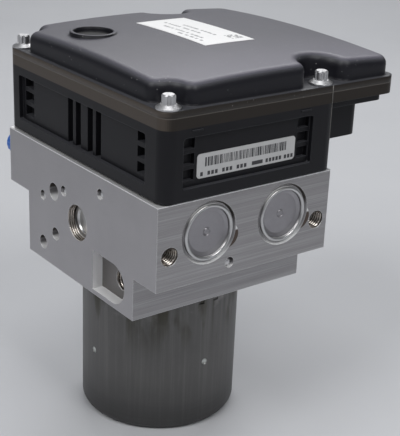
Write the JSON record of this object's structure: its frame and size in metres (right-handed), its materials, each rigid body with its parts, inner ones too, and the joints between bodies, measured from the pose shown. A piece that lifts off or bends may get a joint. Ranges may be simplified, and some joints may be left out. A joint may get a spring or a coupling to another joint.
{
  "type": "abs brake module",
  "caption": "Anti-lock brake module: pump motor under a bored aluminium valve block, with a black controller housing and domed cover on top.",
  "frame": {"origin": "centre of the motor's end face, on the floor", "axes": "+Z along the motor up to the controller, -Y out of the accumulator face, +Y out of the wheel ports, +X towards the connector"},
  "size_m": [0.123, 0.13, 0.1732],
  "materials": {
    "machined_aluminium": "milled",
    "drawn_steel": "drawn and zinc plated, dull",
    "black_housing": "moulded, fine texture",
    "charcoal_cover": "moulded, soft sheen",
    "bright_screw": "zinc plated",
    "cap_steel": "turned",
    "blue_plug": "moulded",
    "label_white": "printed film",
    "seal_rubber": "moulded",
    "vent_membrane": "woven",
    "ball_steel": "polished",
    "ground_steel": "ground",
    "valve_steel": "turned",
    "piston_aluminium": "anodised",
    "spring_steel": "drawn wire",
    "copper": "drawn",
    "lamination": "stamped stack",
    "ferrite": "sintered",
    "brown_plastic": "moulded",
    "carbon": "pressed",
    "tinned_pin": "tinned",
    "board_green": "lacquered",
    "chip_black": "moulded",
    "magnetic_steel": "turned"
  },
  "bodies": {
    "module": {"hydraulic_block": "machined_aluminium", "motor_can": "drawn_steel", "motor_magnets": "ferrite", "motor_end_plate": "ground_steel", "motor_screws": "bright_screw", "brush_plate": "brown_plastic", "brush_spring_left": "spring_steel", "brush_spring_right": "spring_steel", "bearing_outer_rings": "ground_steel", "motor_terminals": "copper", "pump_cylinders": "ground_steel", "pump_plugs": "cap_steel", "pump_spring_left": "spring_steel", "pump_spring_right": "spring_steel", "accumulator_caps": "cap_steel", "accumulator_spring_left": "spring_steel", "accumulator_spring_right": "spring_steel", "ball_plugs": "ball_steel", "port_plugs": "blue_plug", "changeover_valve_bodies": "valve_steel", "inlet_valve_bodies": "valve_steel", "outlet_valve_bodies": "valve_steel", "coil_yokes": "valve_steel", "coil_windings": "copper", "pressure_sensor": "valve_steel", "housing_gasket": "seal_rubber", "connector_pins": "tinned_pin", "ecu_housing": "black_housing", "ecu_cover": "charcoal_cover", "breather_membrane": "vent_membrane", "top_label": "label_white", "side_label": "label_white", "circuit_board": "board_green", "board_components": "chip_black", "ecu_screws": "bright_screw"},
    "rotor": {"armature_core": "lamination", "armature_windings": "copper", "commutator": "copper", "motor_shaft": "ground_steel", "bearing_inner_rings": "ground_steel"},
    "drive_ring": {"eccentric_ring": "ground_steel"},
    "ball_cages": {"bearing_balls": "ball_steel"},
    "pump_piston_left": {"pump_piston_left": "ground_steel"},
    "accumulator_piston_left": {"accumulator_piston_left": "piston_aluminium"},
    "brush_left": {"brush_left": "carbon"},
    "pump_piston_right": {"pump_piston_right": "ground_steel"},
    "accumulator_piston_right": {"accumulator_piston_right": "piston_aluminium"},
    "brush_right": {"brush_right": "carbon"},
    "suction_armature_1": {"suction_armature_1": "magnetic_steel"},
    "suction_armature_2": {"suction_armature_2": "magnetic_steel"},
    "changeover_armature_1": {"changeover_armature_1": "magnetic_steel"},
    "changeover_armature_2": {"changeover_armature_2": "magnetic_steel"},
    "inlet_armature_1": {"inlet_armature_1": "magnetic_steel"},
    "inlet_armature_2": {"inlet_armature_2": "magnetic_steel"},
    "inlet_armature_3": {"inlet_armature_3": "magnetic_steel"},
    "inlet_armature_4": {"inlet_armature_4": "magnetic_steel"},
    "outlet_armature_1": {"outlet_armature_1": "magnetic_steel"},
    "outlet_armature_2": {"outlet_armature_2": "magnetic_steel"},
    "outlet_armature_3": {"outlet_armature_3": "magnetic_steel"},
    "outlet_armature_4": {"outlet_armature_4": "magnetic_steel"}
  },
  "joints": [
    {"name": "rotor_spin", "type": "hinge", "parent": "module", "child": "rotor", "pos_m": [0, 0, 0], "axis": [0, 0, 1], "continuous": true},
    {"name": "drive_ring_spin", "type": "hinge", "parent": "rotor", "child": "drive_ring", "pos_m": [0, -0.001, 0.0967], "axis": [0, 0, 1], "continuous": true},
    {"name": "ball_cage_spin", "type": "hinge", "parent": "module", "child": "ball_cages", "pos_m": [0, 0, 0], "axis": [0, 0, 1], "continuous": true},
    {"name": "pump_stroke_left", "type": "slide", "parent": "module", "child": "pump_piston_left", "axis": [-1, 0, 0], "range_m": [-0.001, 0.001], "stiffness_N_per_m": 300, "deforming": ["pump_spring_left"]},
    {"name": "accumulator_stroke_left", "type": "slide", "parent": "module", "child": "accumulator_piston_left", "axis": [0, -1, 0], "range_m": [0, 0.008], "stiffness_N_per_m": 1200, "springref_m": -0.004, "deforming": ["accumulator_spring_left"]},
    {"name": "brush_slide_left", "type": "slide", "parent": "module", "child": "brush_left", "axis": [-1, 0, 0], "range_m": [0, 0.0025], "stiffness_N_per_m": 150, "springref_m": -0.003, "deforming": ["brush_spring_left"]},
    {"name": "pump_stroke_right", "type": "slide", "parent": "module", "child": "pump_piston_right", "axis": [-1, 0, 0], "range_m": [-0.001, 0.001], "stiffness_N_per_m": 300, "deforming": ["pump_spring_right"]},
    {"name": "accumulator_stroke_right", "type": "slide", "parent": "module", "child": "accumulator_piston_right", "axis": [0, -1, 0], "range_m": [0, 0.008], "stiffness_N_per_m": 1200, "springref_m": -0.004, "deforming": ["accumulator_spring_right"]},
    {"name": "brush_slide_right", "type": "slide", "parent": "module", "child": "brush_right", "axis": [1, 0, 0], "range_m": [0, 0.0025], "stiffness_N_per_m": 150, "springref_m": -0.003, "deforming": ["brush_spring_right"]},
    {"name": "suction_valve_1", "type": "slide", "parent": "module", "child": "suction_armature_1", "axis": [0, 0, 1], "range_m": [0, 0.0003], "stiffness_N_per_m": 500, "springref_m": -0.002},
    {"name": "suction_valve_2", "type": "slide", "parent": "module", "child": "suction_armature_2", "axis": [0, 0, 1], "range_m": [0, 0.0003], "stiffness_N_per_m": 500, "springref_m": -0.002},
    {"name": "changeover_valve_1", "type": "slide", "parent": "module", "child": "changeover_armature_1", "axis": [0, 0, -1], "range_m": [0, 0.0003], "stiffness_N_per_m": 500, "springref_m": -0.002},
    {"name": "changeover_valve_2", "type": "slide", "parent": "module", "child": "changeover_armature_2", "axis": [0, 0, -1], "range_m": [0, 0.0003], "stiffness_N_per_m": 500, "springref_m": -0.002},
    {"name": "inlet_valve_1", "type": "slide", "parent": "module", "child": "inlet_armature_1", "axis": [0, 0, -1], "range_m": [0, 0.0003], "stiffness_N_per_m": 500, "springref_m": -0.002},
    {"name": "inlet_valve_2", "type": "slide", "parent": "module", "child": "inlet_armature_2", "axis": [0, 0, -1], "range_m": [0, 0.0003], "stiffness_N_per_m": 500, "springref_m": -0.002},
    {"name": "inlet_valve_3", "type": "slide", "parent": "module", "child": "inlet_armature_3", "axis": [0, 0, -1], "range_m": [0, 0.0003], "stiffness_N_per_m": 500, "springref_m": -0.002},
    {"name": "inlet_valve_4", "type": "slide", "parent": "module", "child": "inlet_armature_4", "axis": [0, 0, -1], "range_m": [0, 0.0003], "stiffness_N_per_m": 500, "springref_m": -0.002},
    {"name": "outlet_valve_1", "type": "slide", "parent": "module", "child": "outlet_armature_1", "axis": [0, 0, 1], "range_m": [0, 0.0003], "stiffness_N_per_m": 500, "springref_m": -0.002},
    {"name": "outlet_valve_2", "type": "slide", "parent": "module", "child": "outlet_armature_2", "axis": [0, 0, 1], "range_m": [0, 0.0003], "stiffness_N_per_m": 500, "springref_m": -0.002},
    {"name": "outlet_valve_3", "type": "slide", "parent": "module", "child": "outlet_armature_3", "axis": [0, 0, 1], "range_m": [0, 0.0003], "stiffness_N_per_m": 500, "springref_m": -0.002},
    {"name": "outlet_valve_4", "type": "slide", "parent": "module", "child": "outlet_armature_4", "axis": [0, 0, 1], "range_m": [0, 0.0003], "stiffness_N_per_m": 500, "springref_m": -0.002}
  ],
  "couplings": [
    {"joint": "drive_ring_spin", "follows": "rotor_spin", "ratio": -1},
    {"joint": "ball_cage_spin", "follows": "rotor_spin", "ratio": 0.38}
  ]
}
